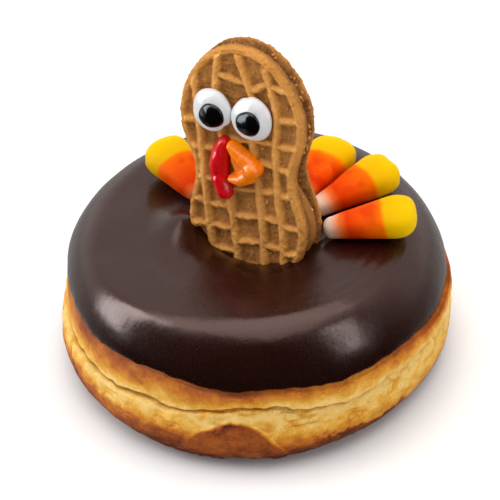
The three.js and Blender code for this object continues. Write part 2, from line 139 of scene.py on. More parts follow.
# Banks where the top rises beside the hole, as degrees, spread and rise
BANKS = [(-148, 0.42, 3.2), (-95, 0.35, 0.9), (-12, 0.35, 2.2)]
EDGE_HEIGHT = 24.4
EDGE_TILT = 2.4
# Ripples of the lower edge as waves round the ring, start and height
EDGE_RIPPLES = [(5, 0.6, 0.45), (9, 2, 0.3)]
EDGE_WAVES = [(3.2, 0.3), (1.3, 0.14)]
EDGE_SAG = 0.9
SAG_TURN = radians(-72)
SAG_SPREAD = 0.22
HIGH_SIDE = radians(-160)
RIPPLE_DEPTH = 0.05
RIPPLE_LENGTH = 3
RIPPLE_TURN = radians(-5)
RIPPLE_SPREAD = 0.65
ICING_TURNS = 480

# Sandwich biscuit
BISCUIT_LENGTH = 64.4
BISCUIT_WIDTH = 33
BISCUIT_THICKNESS = 12
BISCUIT_CENTRE = (1.4, -0.3, 53.4)
BISCUIT_LEAN = 12
BISCUIT_TILT = 6.8
OUTLINE_POWER = 2.1
WAIST_DEPTH = 0.28
WAIST_SPAN = 0.31
UPPER_LOBE_GAIN = 0.06
BACK_SHIFT = (-1, -1.1)
BACK_TURN = 3.65
WAFER_THICKNESS = 4.7
RELIEF_HEIGHT = 1.35
FIELD_LEVEL = WAFER_THICKNESS - RELIEF_HEIGHT
RIM_WIDTH = 1.5
RIM_TOP = WAFER_THICKNESS - 0.4
RIM_ROUND = 1.2
BACK_ROUND = 1.9
WIDEST_LEVEL = 2.3
SIDE_STEPS = 8
WAFER_GRAIN = [(3.2, 0.1), (1.1, 0.13), (0.55, 0.19)]
WAFER_SINK = 0.18
GRAIN_SHIFT = 60
CRUMB_COUNT = 90
CRUMB_SIZE = (0.16, 0.42)
CRUMB_INSET = (0.8, 1.6)
CRUMB_GROOVE = 1.2
FILLING_THICKNESS = BISCUIT_THICKNESS - 2 * WAFER_THICKNESS + 0.3
FILLING_CENTRE = (0, -2.0)
FILLING_SINK = 0.15
TIP_WIDTH = 0.02
SMALL_TURN = 1e-4
WAFER_ROWS = 380
WAFER_COLUMNS = 124

# Lattice pressed into the wafers: four long ridges as across and up, then the ribs in each lane
# between them as up and slope
RIDGES = [
    [(-11.9, 25), (-11.0, 14), (-10.6, 5), (-10.2, -8), (-9.4, -20), (-9.2, -27)],
    [(-5.0, 30), (-6.1, 20.8), (-4.7, 6), (-3.6, -9), (-2.8, -20), (-2.6, -28)],
    [(0.1, 30), (1.8, 25), (3.3, 20.4), (2.9, 8), (3.9, -4), (4.5, -14), (4.2, -28)],
    [(6.9, 27.4), (8.4, 22), (9.4, 17), (8.8, 8), (8.9, -4), (9.7, -14), (9.3, -27)],
]
RIDGE_HALF_WIDTH = 1.35
RIBS = [
    [(12.5, 0), (5.9, 0), (-1.8, 0), (-7.9, -0.15), (-14.1, -0.05), (-20.6, 0)],
    [(12.2, 0), (5.9, 0), (-2.0, 0), (-8.6, 0.03), (-14.2, -0.05), (-20, -0.05), (-26, 0)],
    [(24.0, -0.2), (9, 0), (-3.4, 0.05), (-10.4, 0.06), (-17, 0.1), (-23.6, 0)],
    [(22.7, 0.5), (9.4, -0.05), (4, -0.15), (-3.2, 0.05), (-10.2, -0.1), (-17.4, -0.1), (-24, 0)],
    [(22.8, -0.25), (15.4, 0), (8.7, 0), (2.8, -0.15), (-3.7, 0), (-11.7, -0.05), (-18.4, 0.05)],
]
RIB_HALF_WIDTH = 1.2
RIB_HEIGHT = 0.92

# Piped features on the face
EYES = {
    "left": {"at": (-6.7, 16), "half": (5, 5.25), "pupil": (-6, 15.3), "turn": 0.4, "dent": -0.9},
    "right": {"at": (3.6, 15.2), "half": (5.2, 5.35), "pupil": (3.6, 14.7), "turn": 2.1, "dent": 1.75},
}
EYE_HEIGHT = 2.3
DENT_DEPTH = 0.055
DENT_SPREAD = 0.17
PUPIL_HALF = (3.15, 3.05)
PUPIL_HEIGHT = 1.2
PUPIL_SINK = 0.05
PUPIL_ROOT = -0.15
PIPING_ROOT = -0.6
PILE_POWER = 3
DOME_SIDES = 96
DOME_RINGS = 34
MASS_SIDES = 150
MASS_RINGS = 46

# The wattle and beak as strokes of across, up and half width
WATTLE_CENTRE = (-5.2, 2.2)
WATTLE_STROKES = [
    {"line": [(-3.9, 8.6, 1.5), (-4.9, 6.2, 2.2), (-5.6, 3, 2.5), (-5.5, -0.4, 2.4), (-4.7, -3.2, 2.15),
              (-4.4, -4.2, 2)], "height": 2.5},
    {"line": [(-5.4, 4.8, 1.7), (-5.8, 2.4, 1.8)], "height": 2.3},
    {"line": [(-5.2, -1, 1.8), (-4.7, -3.4, 1.6)], "height": 2.2},
]
BEAK_CENTRE = (0.9, 3.8)
BEAK_STROKES = [
    {"line": [(-1.6, 8.3, 1.1), (0, 6.3, 1.8), (2.1, 4.4, 2.1), (3.7, 2.9, 2.2)], "height": 2.9},
    {"line": [(3.9, 2.9, 2.1), (2.3, 0.9, 2.0), (0.1, -0.3, 1.7), (-1.9, -0.1, 1.1)], "height": 2.6},
    {"line": [(-1.3, 7, 1.3), (-0.6, 4.4, 1.8), (0.5, 2.2, 2.2)], "height": 1.5},
]

# Candies
CANDY_LENGTH = 23
CANDY_TIP = (2, 4.6)
CANDY_END = (7.4, 8.8)
CANDY_SQUARENESS = 0.8
TIP_SHARE = 0.08
# How much longer each candy's tip is than the others'; a minus draws it in clear of the biscuit
TIP_REACH = [-0.6, 0.5, 0, 0, -3.6]
END_SHARE = 0.7
CANDIES = [
    {"at": (27.9, 7, 41), "heading": 30, "rise": 8},
    {"at": (19, 17.6, 40.8), "heading": 56, "rise": 11},
    {"at": (8.3, 19.5, 40.7), "heading": 88, "rise": 7},
    {"at": (-8, 21.3, 40.6), "heading": 118, "rise": 11},
    {"at": (-21.3, 4.3, 41.2), "heading": 152, "rise": 14},
]

# Camera, as the photograph was taken: degrees, millimetres, and pixels in the 500 x 500 frame
VIEW_AZIMUTH = 30.07
VIEW_ELEVATION = 40.07
VIEW_ROLL = -3.11
VIEW_DISTANCE = 500
FOCAL_PIXELS = 2030
FRAME_PIXELS = 500
TARGET_HEIGHT = 20
TARGET_PIXEL = (254.66, 273.87)
SENSOR = 36

# Lights as name, azimuth, elevation, distance, size and brightness, in degrees and metres
COOL_WHITE = (0.84, 1.0, 1.06)
LIGHTS = [
    ("softbox_left", 177, 24, 0.6, (0.34, 0.46), 2.9, {"glossy": False}),
    ("strip_left", 187, 29, 0.6, (0.29, 0.8), 8.6, {"diffuse": False, "colour": COOL_WHITE}),
    ("softbox_right", -38, 24, 0.6, (0.075, 0.48), 8.4, {"diffuse": False, "colour": COOL_WHITE}),
    ("fill_right", -38, 24, 0.6, (0.3, 0.4), 1.7, {"glossy": False}),
    ("softbox_top", -40, 84, 0.6, (0.6, 0.6), 1.8, {}),
    ("fill_top", 90, 84, 0.6, (0.75, 0.75), 0.65, {"glossy": False}),
    ("fill_front", -90, 25, 0.8, (0.9, 0.5), 0.6, {"glossy": False}),
]
LIT_HEIGHT = 30
FLOOR_SIZE = 2.8
FLOOR_DROP = 0.2

# Materials. Colours are 0 to 255 screen values, tones are a place on a ramp and its colour, mottle is
# noise as lump size, detail, roughness and depth, as bumps are, and specks are their distance apart,
# share of it, strength and colour
NOISE_RANGE = (0.3, 0.7)
DOUGH_MOTTLE = [(2.2, 6, 0.66, 0.5), (0.5, 4, 0.65, 0.34)]
DOUGH_TONES = [(0.0, (243, 204, 118)), (0.16, (235, 178, 68)), (0.34, (217, 146, 38)),
               (0.5, (204, 120, 26)), (0.66, (178, 92, 22)), (0.84, (146, 68, 16)), (1.0, (104, 44, 14))]
# Painted shadow in the crease: a darker yellow mixed into the dough's colour along its groove
CREASE_SHADOW_COLOUR = (196, 142, 34)
DOUGH_PORES = (3.4, 0.07, 0.55, (104, 52, 20))
DOUGH_ROUGHNESS = (0.42, 0.62)
DOUGH_BUMPS = [(0.9, 5, 0.65, 0.34), (0.3, 3, 0.6, 0.12)]
ICING_COLOURS = [(24, 4, 2), (33, 9, 5)]
ICING_SPECKS = (0.8, 0.14, 0.08, (190, 112, 80))
ICING_ROUGHNESS = (0.2, 0.3)
ICING_BUMPS = [(5, 3, 0.5, 0.12), (0.35, 3, 0.6, 0.012)]
WAFER_MOTTLE = [(4, 4, 0.5, 0.5), (0.5, 4, 0.65, 0.5)]
WAFER_TONES = [(0.0, (92, 50, 18)), (0.25, (164, 108, 50)), (0.5, (204, 140, 66)), (0.75, (216, 151, 74)),
               (1.0, (240, 182, 106))]
WAFER_SPECKS = [(1.3, 0.13, 0.6, (120, 62, 24)), (0.9, 0.12, 0.35, (236, 196, 136))]
WAFER_BUMPS = [(0.8, 5, 0.7, 0.28), (0.25, 3, 0.6, 0.09)]
FILLING_COLOURS = [(146, 92, 40), (172, 114, 54)]
FILLING_BUMPS = [(0.7, 4, 0.7, 0.3)]
CANDY_WAVER = [(7, 2, 0.5, 0.1), (0.5, 3, 0.5, 0.014)]
CANDY_TONES = [(0.0, (232, 214, 200)), (0.1, (232, 198, 172)), (0.2, (234, 108, 40)), (0.28, (224, 58, 0)),
               (0.46, (236, 84, 0)), (0.625, (240, 106, 0)), (0.67, (226, 172, 0)), (1.0, (226, 184, 0))]
CANDY_SMEAR = (206, 40, 2)
CANDY_GLINTS = (1.5, 0.05, 0.7, (250, 236, 220))
CANDY_BUMPS = [(2.2, 3, 0.5, 0.16), (0.4, 2, 0.5, 0.02)]
FLOOR_COLOURS = [(0.86, 0.86, 0.86, 1), (0.88, 0.88, 0.88, 1)]
# Piping as its two colours, roughness, coat, glow, depth of its streaks and shine
PIPING = {
    "white": ([(220, 220, 222), (215, 216, 219)], 0.3, 0.15, 0.2, 0.01, 0.5),
    "black": ([(8, 7, 8), (3, 2, 3)], 0.2, 0.15, 0.0, 0.03, 0.35),
    "red": ([(216, 4, 16), (190, 1, 10)], 0.16, 0.0, 0.06, 0.1, 0.5),
    "orange": ([(248, 132, 6), (240, 112, 2)], 0.2, 0.0, 0.08, 0.05, 0.5),
}


# Smooth noise and lines

LATTICE = np.random.default_rng(SEED).uniform(-1, 1, (LATTICE_SIZE,) * 3)


def noise(points, size):
    """Smooth noise between -1 and 1 with lumps about size millimetres apart."""
    at = np.asarray(points, float) / size
    cell = np.floor(at).astype(int)
    part = at - cell
    part = part * part * (3 - 2 * part)
    total = np.zeros(at.shape[:-1])
    for corner in itertools.product((0, 1), repeat=3):
        weight = np.prod(np.where(np.array(corner) == 1, part, 1 - part), axis=-1)
        x, y, z = np.moveaxis((cell + np.array(corner)) % LATTICE_SIZE, -1, 0)
        total += weight * LATTICE[x, y, z]
    return total


def ease(x, start, end):
    """0 before the start, 1 past the end, and a smooth step between them."""
    share = np.clip((x - start) / (end - start), 0, 1)
    return share * share * (3 - 2 * share)


def stacked(*parts):
    """Arrays side by side, as the last axis of one array."""
    return np.stack(np.broadcast_arrays(*parts), axis=-1)


def raised(loop, level):
    """A flat loop of points at a level."""
    return stacked(*loop.T, level)


def lumps(points, layers):
    """Noise added up from layers of size and depth."""
    return sum(depth * noise(points, size) for size, depth in layers)


def ridge(x, width):
    """1 where x is 0, falling to 0 on both sides of it."""
    return np.exp(-((x / width) ** 2))


def through(x, places, values):
    """A smooth curve through the given places and values, at x."""
    places = np.asarray(places, float)
    values = np.asarray(values, float)
    slopes = np.gradient(values, places)
    i = np.clip(np.searchsorted(places, x) - 1, 0, len(places) - 2)
    gap = places[i + 1] - places[i]
    t = np.clip((x - places[i]) / gap, 0, 1)
    start = values[i] * (1 + 2 * t) * (1 - t) ** 2 + gap * slopes[i] * t * (1 - t) ** 2
    end = values[i + 1] * t * t * (3 - 2 * t) + gap * slopes[i + 1] * t * t * (t - 1)
    return start + end


def round_line(turn, line):
    """A line round the ring, given as degrees and height, at each turn."""
    places, values = map(list, zip(*line))
    places = [places[-1] - 360] + places + [places[0] + 360]
    values = [values[-1]] + values + [values[0]]
    return through(degrees_of(turn), places, values)


def hump(turn, centre, spread):
    return ridge(np.arctan2(np.sin(turn - centre), np.cos(turn - centre)), spread)


def degrees_of(turn):
    """Turns in degrees from -180 to 180."""
    return np.degrees(np.arctan2(np.sin(turn), np.cos(turn)))


# Meshes

def grid_faces(rows, columns, wrap_rows=False, wrap_columns=False):
    index = np.arange(rows * columns).reshape(rows, columns)
    if wrap_rows:
        index = np.vstack([index, index[:1]])
    if wrap_columns:
        index = np.hstack([index, index[:, :1]])
    corners = [index[:-1, :-1], index[1:, :-1], index[1:, 1:], index[:-1, 1:]]
    return np.stack(corners, axis=-1).reshape(-1, 4)


def grid_normals(points):
    """Outward unit normals of a hoop: a grid of points that closes on itself both ways."""
    along = np.roll(points, -1, 0) - np.roll(points, 1, 0)
    across = np.roll(points, -1, 1) - np.roll(points, 1, 1)
    normal = np.cross(along, across)
    normal = normal / np.maximum(np.linalg.norm(normal, axis=-1, keepdims=True), TINY)
    crest = np.unravel_index(np.argmax(points[..., 2]), points.shape[:2])
    return normal if normal[crest][2] > 0 else -normal


def fan(centre, line):
    """Triangles from a centre to each step of a line of points, all as numbers of points."""
    return [[centre, first, second] for first, second in zip(line, line[1:])]


def closed_rings(rows, crown, base):
    """Points and faces of a stack of rings, closed by fans onto a crown and a base."""
    count, sides = rows.shape[:2]
    total = count * sides
    first = [*range(sides), 0]
    last = [total - sides + j for j in first]
    faces = grid_faces(count, sides, wrap_columns=True).tolist()
    faces += fan(total, first) + fan(total + 1, last[::-1])
    return np.concatenate([rows.reshape(-1, 3), [crown, base]]), faces


def add_piece(name, points, faces, material, slot, nodes=(), place=None, **shades):
    """A finished piece that rides on the part; shades are numbers for its material, one a point."""
    mesh = bpy.data.meshes.new(name)
    points = np.asarray(points, float).reshape(-1, 3)
    if place is not None:
        turned = points @ np.array(place.to_3x3()).T
        points = turned + np.array(place.translation)
    mesh.from_pydata((points * MM).tolist(), [], [list(map(int, face)) for face in faces])
    for key, values in shades.items():
        layer = mesh.attributes.new(key, "FLOAT", "POINT")
        layer.data.foreach_set("value", np.asarray(values, np.float32).ravel())
    mesh.validate()
    mesh.shade_smooth()
    piece = bpy.data.objects.new(name, mesh)
    bpy.context.collection.objects.link(piece)
    mesh.materials.append(material)
    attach(piece, "root")
    if nodes:
        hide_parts(*nodes)


def roughened(points, faces, layers, sink=0.0):
    """Points moved along their normals by noise, and sunk by a distance."""
    draft = bpy.data.meshes.new("draft")
    draft.from_pydata(points.tolist(), [], faces)
    normals = np.empty(3 * len(points), np.float32)
    draft.vertex_normals.foreach_get("vector", normals)
    bpy.data.meshes.remove(draft)
    return points + normals.reshape(-1, 3) * (lumps(points, layers) - sink)[:, None]


# Node materials

def put(tree, kind, sockets=None, **settings):
    """A shader node with its settings, and its sockets set or linked by name or number."""
    node = tree.nodes.new(kind)
    for key, value in settings.items():
        setattr(node, key, value)
    for key, value in (sockets or {}).items():
        if isinstance(value, bpy.types.NodeSocket):
            tree.links.new(value, node.inputs[key])
        else:
            node.inputs[key].default_value = value
    return node


def start_material(name, **sockets):
    """A new material with its tree, its shader and the place on the piece that its noises read."""
    material = bpy.data.materials.new(name)
    material.use_nodes = True
    tree = material.node_tree
    shader = tree.nodes["Principled BSDF"]
    for key, value in sockets.items():
        shader.inputs[key.replace("_", " ")].default_value = value
    return material, tree, shader, put(tree, "ShaderNodeTexCoord").outputs["Object"]


def linear(colour):
    """0 to 255 screen values as the shader wants them; a socket or a finished colour stays."""
    if isinstance(colour, bpy.types.NodeSocket) or len(colour) == 4:
        return colour
    shares = [value / 255 for value in colour]
    return (*[s / 12.92 if s <= 0.04045 else ((s + 0.055) / 1.055) ** 2.4 for s in shares], 1)


def ramp(tree, factor, stops):
    node = put(tree, "ShaderNodeValToRGB", {"Fac": factor})
    elements = node.color_ramp.elements
    while len(elements) < len(stops):
        elements.new(0.5)
    for element, (place, colour) in zip(elements, stops):
        element.position = place
        element.color = linear(colour)
    return node.outputs["Color"]


def noise_at(tree, vector, size, detail=3, rough=0.5):
    """Noise with lumps about size millimetres apart."""
    sockets = {"Vector": vector, "Scale": 1 / (size * MM), "Detail": detail, "Roughness": rough}
    return put(tree, "ShaderNodeTexNoise", sockets).outputs["Fac"]


def math_node(tree, operation, first, second=0.0, third=0.0, clamp=False):
    sockets = {0: first, 1: second, 2: third}
    return put(tree, "ShaderNodeMath", sockets, operation=operation, use_clamp=clamp).outputs[0]


def times(tree, first, second):
    return math_node(tree, "MULTIPLY", first, second)


def mix(tree, factor, first, second):
    sockets = {0: factor, 6: linear(first), 7: linear(second)}
    return put(tree, "ShaderNodeMix", sockets, data_type="RGBA").outputs[2]


def spread(tree, value, low, high, new_low=0.0, new_high=1.0):
    sockets = {"Value": value, "From Min": low, "From Max": high, "To Min": new_low, "To Max": new_high}
    return put(tree, "ShaderNodeMapRange", sockets).outputs[0]


def bump(tree, shader, layers):
    """Bumps from layers of height and depth."""
    normal = None
    for height, depth in layers:
        node = put(tree, "ShaderNodeBump", {"Height": height, "Distance": depth * MM, "Strength": 1.0})
        if normal:
            tree.links.new(normal, node.inputs["Normal"])
        normal = node.outputs[0]
    tree.links.new(normal, shader.inputs["Normal"])


def dough_material():
    material, tree, shader, at = start_material(
        "fried_dough", Subsurface_Weight=0.15, Subsurface_Scale=0.0012,
        Subsurface_Radius=(1.0, 0.55, 0.22), Specular_IOR_Level=0.18)
    colour = ramp(tree, mottled(tree, at, shade_of(tree, "brown"), DOUGH_MOTTLE), DOUGH_TONES)
    # Painted shadow along the crease's groove
    colour = mix(tree, shade_of(tree, "crease"), colour, CREASE_SHADOW_COLOUR)
    colour = speckled(tree, at, colour, *DOUGH_PORES)
    rough = spread(tree, noise_at(tree, at, 1.5), *NOISE_RANGE, *DOUGH_ROUGHNESS)
    tree.links.new(rough, shader.inputs["Roughness"])
    return finished(material, tree, shader, at, colour, DOUGH_BUMPS)


def shade_of(tree, name):
    """The number that a piece carries at each point under a name."""
    return put(tree, "ShaderNodeAttribute", attribute_name=name).outputs["Fac"]


def mottled(tree, at, base, layers):
    """A number from 0 to 1 with layers of noise added to it."""
    for size, detail, rough, depth in layers:
        waver = noise_at(tree, at, size, detail, rough)
        base = math_node(tree, "ADD", base, math_node(tree, "MULTIPLY_ADD", waver, depth, -depth / 2))
    return math_node(tree, "ADD", base, clamp=True)


def speckled(tree, at, colour, size, share, strength, speck):
    """A colour with specks of another, size millimetres apart, that take a share of that width."""
    cells = put(tree, "ShaderNodeTexVoronoi", {"Vector": at, "Scale": 1 / (size * MM)})
    specks = spread(tree, cells.outputs["Distance"], share, share * 0.5)
    return mix(tree, times(tree, specks, strength), colour, speck)


def finished(material, tree, shader, at, colour, bumps):
    tree.links.new(colour, shader.inputs["Base Color"])
    bump(tree, shader, [(noise_at(tree, at, *kind), depth) for *kind, depth in bumps])
    return material


def icing_material():
    material, tree, shader, at = start_material(
        "chocolate_icing", Specular_Tint=(1, 0.67, 0.6, 1), Specular_IOR_Level=0.66)
    colour = mix(tree, noise_at(tree, at, 9), *ICING_COLOURS)
    colour = speckled(tree, at, colour, *ICING_SPECKS)
    rough = spread(tree, noise_at(tree, at, 0.5, 4, 0.7), *NOISE_RANGE, *ICING_ROUGHNESS)
    tree.links.new(rough, shader.inputs["Roughness"])
    return finished(material, tree, shader, at, colour, ICING_BUMPS)


def wafer_material():
    material, tree, shader, at = start_material(
        "biscuit", Subsurface_Weight=0.06, Subsurface_Scale=0.001, Subsurface_Radius=(1.0, 0.5, 0.25),
        Specular_IOR_Level=0.12, Roughness=0.72)
    colour = ramp(tree, mottled(tree, at, shade_of(tree, "relief"), WAFER_MOTTLE), WAFER_TONES)
    for specks in WAFER_SPECKS:
        colour = speckled(tree, at, colour, *specks)
    return finished(material, tree, shader, at, colour, WAFER_BUMPS)


def filling_material():
    material, tree, shader, at = start_material("nut_filling", Specular_IOR_Level=0.15, Roughness=0.6)
    colour = mix(tree, noise_at(tree, at, 1.2, 4), *FILLING_COLOURS)
    return finished(material, tree, shader, at, colour, FILLING_BUMPS)


def piping_material(tone):
    """Piped icing: two close tones drawn out in soft streaks, glossy as it set."""
    (light, dark), roughness, coat, glow, streak, shine = PIPING[tone]
    material, tree, shader, at = start_material(
        f"{tone}_piping", Coat_Weight=coat, Coat_Roughness=0.08, Roughness=roughness,
        Specular_IOR_Level=shine, Subsurface_Weight=glow, Subsurface_Scale=0.001)
    streaks = put(tree, "ShaderNodeMapping", {"Vector": at, "Scale": (2.2, 1, 0.6)}).outputs[0]
    colour = mix(tree, spread(tree, noise_at(tree, streaks, 1.6), 0.35, 0.65), dark, light)
    tree.links.new(colour, shader.inputs["Base Color"])
    bump(tree, shader, [(noise_at(tree, streaks, 1.1, 2), streak), (noise_at(tree, at, 0.25, 2), 0.012)])
    return material


def candy_material():
    material, tree, shader, at = start_material(
        "candy_corn", Roughness=0.4, Specular_IOR_Level=0.025, Subsurface_Weight=0.1,
        Subsurface_Scale=0.001, Subsurface_Radius=(1.0, 0.4, 0.15))
    place = mottled(tree, at, shade_of(tree, "along"), CANDY_WAVER)
    colour = ramp(tree, place, CANDY_TONES)
    orange_part = times(tree, spread(tree, place, 0.2, 0.32), spread(tree, place, 0.54, 0.64, 0.6, 0.0))
    smears = spread(tree, noise_at(tree, at, 4.5, 1), 0.46, 0.66)
    colour = mix(tree, times(tree, smears, orange_part), colour, CANDY_SMEAR)
    colour = speckled(tree, at, colour, *CANDY_GLINTS)
    return finished(material, tree, shader, at, colour, CANDY_BUMPS)


def floor_material():
    material, tree, shader, at = start_material("pale_floor", Roughness=0.7)
    colour = mix(tree, noise_at(tree, at, 40, 2), *FLOOR_COLOURS)
    tree.links.new(colour, shader.inputs["Base Color"])
    return material


# Ring and icing sections, as the solids have them: distance from the axis and height at each turn

def roundness(turn):
    return 1 + OUT_OF_ROUND * (0.6 * np.cos(2 * turn + 1) + 0.4 * np.cos(3 * turn - 0.7))


def edge_height(turn):
    height = EDGE_HEIGHT + EDGE_TILT * np.cos(turn - HIGH_SIDE)
    for waves, start, tall in EDGE_RIPPLES:
        height = height + tall * np.cos(waves * turn + start)
    return height - EDGE_SAG * hump(turn, SAG_TURN, SAG_SPREAD)


def turns(count):
    return np.arange(count) * 2 * pi / count


def ring_points(turn):
    """Points on a circle round the axis, to look noise up at."""
    return stacked(NOISE_RADIUS * np.cos(turn), NOISE_RADIUS * np.sin(turn), 0 * turn)


def crest_radius(turn):
    """Where the crest runs: further out on the left of the front."""
    return CREST_RADIUS + WIDE_CREST * hump(turn, WIDE_TURN, WIDE_SPREAD)


def shoulder(turn, share, start_height):
    """The top's outer face at a share of the way from its lower edge to the crest."""
    rise = RING_HEIGHT - SHOULDER_HEIGHT
    start = np.arcsin((start_height - SHOULDER_HEIGHT) / rise)
    angle = start + (pi / 2 - start) * share
    crest = crest_radius(turn)
    out = crest + (SHOULDER_RADIUS - crest) * np.cos(angle)
    return stacked(out, SHOULDER_HEIGHT + rise * np.sin(angle))


def funnel(turn, inward):
    """The top's face from the crest in to the throat."""
    out = crest_radius(turn) + (THROAT_RADIUS - crest_radius(turn)) * inward
    drop = (RING_HEIGHT - THROAT_HEIGHT) * inward ** FUNNEL_POWER
    tilt = FUNNEL_TILT * np.cos(turn - HIGH_SIDE) * ease(inward, 0.4, 0.9)
    bank = sum(rise * hump(turn, radians(middle), spread) for middle, spread, rise in BANKS)
    return stacked(out, RING_HEIGHT - drop + tilt + bank * ease(inward, 0.4, 0.78))


def top_curve(turn, shoulder_steps, funnel_steps, edge):
    """Sections of the top's outer face: an array of turns by steps by (out, up)."""
    curve = [shoulder(turn, i / shoulder_steps, edge) for i in range(shoulder_steps)]
    curve += [funnel(turn, i / funnel_steps) for i in range(funnel_steps + 1)]
    floor = curve[-1][:, 1] - ICING_HOLE_DEPTH
    for wider, share in ICING_HOLE_WALL:
        wall = 0 * turn + ICING_HOLE_RADIUS + wider
        curve.append(stacked(wall, floor + ICING_HOLE_DEPTH * share))
    return np.stack(curve, axis=1)


def inset(curve, distance):
    """Sections moved square to themselves, inwards for a positive distance."""
    run = np.gradient(curve, axis=1)
    length = np.maximum(np.linalg.norm(run, axis=-1), 1e-9)
    side = stacked(-run[..., 1], run[..., 0]) / length[..., None]
    return curve + side * np.asarray(distance)[..., None]


def swept(sections, turn):
    """Sections turned round the ring's axis into points."""
    out = sections[..., 0] * roundness(turn)[:, None]
    x = RING_AXIS[0] + out * np.cos(turn)[:, None]
    y = RING_AXIS[1] + out * np.sin(turn)[:, None]
    return stacked(x, y, sections[..., 1])


def fine_edge(turn):
    """The icing's lower edge with the small waves it set in."""
    return edge_height(turn) + lumps(ring_points(turn), EDGE_WAVES)


def icing():
    turn = turns(ICING_TURNS)
    outer = top_curve(turn, 56, 60, fine_edge(turn))
    run = np.linalg.norm(np.diff(outer, axis=1), axis=-1)
    walked = np.concatenate([np.zeros((len(turn), 1)), np.cumsum(run, axis=1)], axis=1)
    share = np.clip(walked / BEAD_LENGTH, 0, 1)
    bead = (1 - (1 - share) ** BEAD_POWER) ** (1 / BEAD_POWER)
    outer = inset(outer, ICING_THICKNESS * (1 - bead) - ripples(turn, outer[..., 0]))
    under = inset(top_curve(turn, 10, 12, fine_edge(turn)), ICING_THICKNESS * ICING_UNDERSIDE)
    sections = np.concatenate([outer, under[:, 1:][:, ::-1]], axis=1)
    points = swept(sections, turn)
    swell = lumps(points, ICING_LUMPS)
    swell[:, outer.shape[1]:] = 0
    fade = ease(np.arange(swell.shape[1]), 0, 8)
    points = points + grid_normals(points) * (swell * fade)[..., None]
    faces = grid_faces(*points.shape[:2], True, True)
    add_piece("icing_glaze", points, faces, icing_material(), "chocolate_icing", ["icing"])


def ripples(turn, out):
    """Low ripples that the glaze set in along the crest, on the right of the front."""
    crest = ease(out, 28, 31) * ease(-out, -41, -38)
    wave = np.cos(2 * pi * out / RIPPLE_LENGTH)
    return RIPPLE_DEPTH * wave * crest * hump(turn, RIPPLE_TURN, RIPPLE_SPREAD)[:, None]


def resample(control, steps):
    """Smooth sections through control sections, with a number of steps in each stretch."""
    closed = np.concatenate([control[:, -1:], control, control[:, :2]], axis=1)
    parts = []
    for k, count in enumerate(steps):
        a, b, c, d = (closed[:, k + i][:, None] for i in range(4))
        t = (np.arange(count) / count)[None, :, None]
        parts.append(0.5 * ((2 * b) + (c - a) * t + (2 * a - 5 * b + 4 * c - d) * t ** 2
                            + (3 * b - a - 3 * c + d) * t ** 3))
    return np.concatenate(parts, axis=1)


def dough_sections(turn, crease):
    """Control sections of the ring with a level each: 0 at the foot, 1 at the crease, 2 at the icing."""
    edge = fine_edge(turn)
    covered = inset(top_curve(turn, 5, 6, edge), ICING_THICKNESS * DOUGH_UNDER_ICING)
    flat = FLAT_SIDE_DEPTH * hump(turn, FLAT_SIDE, FLAT_SIDE_SPREAD)
    lower = RING_RADIUS - flat
    foot = FOOT_RADIUS - flat
    upper = UPPER_BULGE_RADIUS - UPPER_BULGE_LEAN * np.cos(turn - HIGH_SIDE)
    joined = np.minimum(lower - 1, upper)
    reach = crease - LOWER_BULGE_HEIGHT
    rows = []
    for angle, level in ((0, 0), (25, 0.12), (45, 0.25), (65, 0.4), (90, 0.6)):
        out = foot + (lower - foot) * sin(radians(angle))
        rows.append((out, LOWER_BULGE_HEIGHT * (1 - cos(radians(angle))), level))
    rows.append((lower - 0.4, LOWER_BULGE_HEIGHT + 0.5 * reach, 0.8))
    rows.append((lower - 1.1, crease - 1.3, 0.93))
    rows.append((joined - 0.75, crease - 0.1, 1.0))
    rows.append((upper - 0.25, crease + 1.1, 1.1))
    rows.append((upper - 0.3, (crease + edge) / 2 + 1, 1.5))
    rows.append(((upper + covered[:, 0, 0]) / 2 - 0.1, edge - 0.9, 1.85))
    rows += [(*covered[:, i].T, 2.05) for i in range(covered.shape[1])]
    wall = covered[:, -1, 0]
    rows.append((wall, HOLE_FLARE_HEIGHT + 5, -0.6))
    rows.append((wall + 1.4, HOLE_FLARE_HEIGHT / 2, -0.3))
    rows.append((HOLE_FLARE_RADIUS, 0, -0.1))
    sections = [stacked(out + 0 * turn, up + 0 * turn) for out, up, _ in rows]
    return np.stack(sections, axis=1), np.array([level for _, _, level in rows])


def dough():
    turn = turns(DOUGH_TURNS)
    crease = round_line(turn, CREASE_LINE) + lumps(ring_points(turn), CREASE_WAVER)
    control, control_levels = dough_sections(turn, crease)
    points = swept(resample(control, DOUGH_STEPS), turn)
    levels = resample(control_levels[None, :, None], DOUGH_STEPS)[..., 0]
    levels = np.broadcast_to(levels, points.shape[:2])
    outward = grid_normals(points)
    marks = dough_marks(turn, points, levels, crease)
    brown = dough_brown(turn, points, levels, marks)
    points = points + outward * dough_swell(turn, points, levels, marks)[..., None]
    points[..., 2] = np.maximum(points[..., 2], 0)
    faces = grid_faces(*points.shape[:2], True, True)
    # The crease attribute carries the painted shadow of the crease
    add_piece("fried_ring", points, faces, dough_material(), "dough", ["dough"], brown=brown,
              crease=marks.groove)


def crust_flap(turn, points, levels):
    """The torn crust at the front: 1 on it, and 1 along the lip of its edge."""
    degrees = degrees_of(turn)
    places, tops = zip(*CRUST_FLAP)
    inside = (degrees > places[0]) & (degrees < places[-1])
    top = np.where(inside, through(degrees, places, tops), tops[0])
    slope = np.gradient(top) * DOUGH_TURNS / (2 * pi * RING_RADIUS)
    edge = np.where(inside, top, NO_FLAP)[:, None] + lumps(points, FLAP_WAVER)
    below = (edge - points[..., 2]) / np.sqrt(1 + slope[:, None] ** 2)
    flap = ease(below, 0, FLAP_SOFTNESS) * (levels > 0.02) * (levels < 1)
    torn = ease(degrees, *TORN_DEGREES)[:, None] * inside[:, None]
    lip = ridge(points[..., 2] - edge - 0.3, 0.32) * torn * (levels < 1)
    return flap, lip


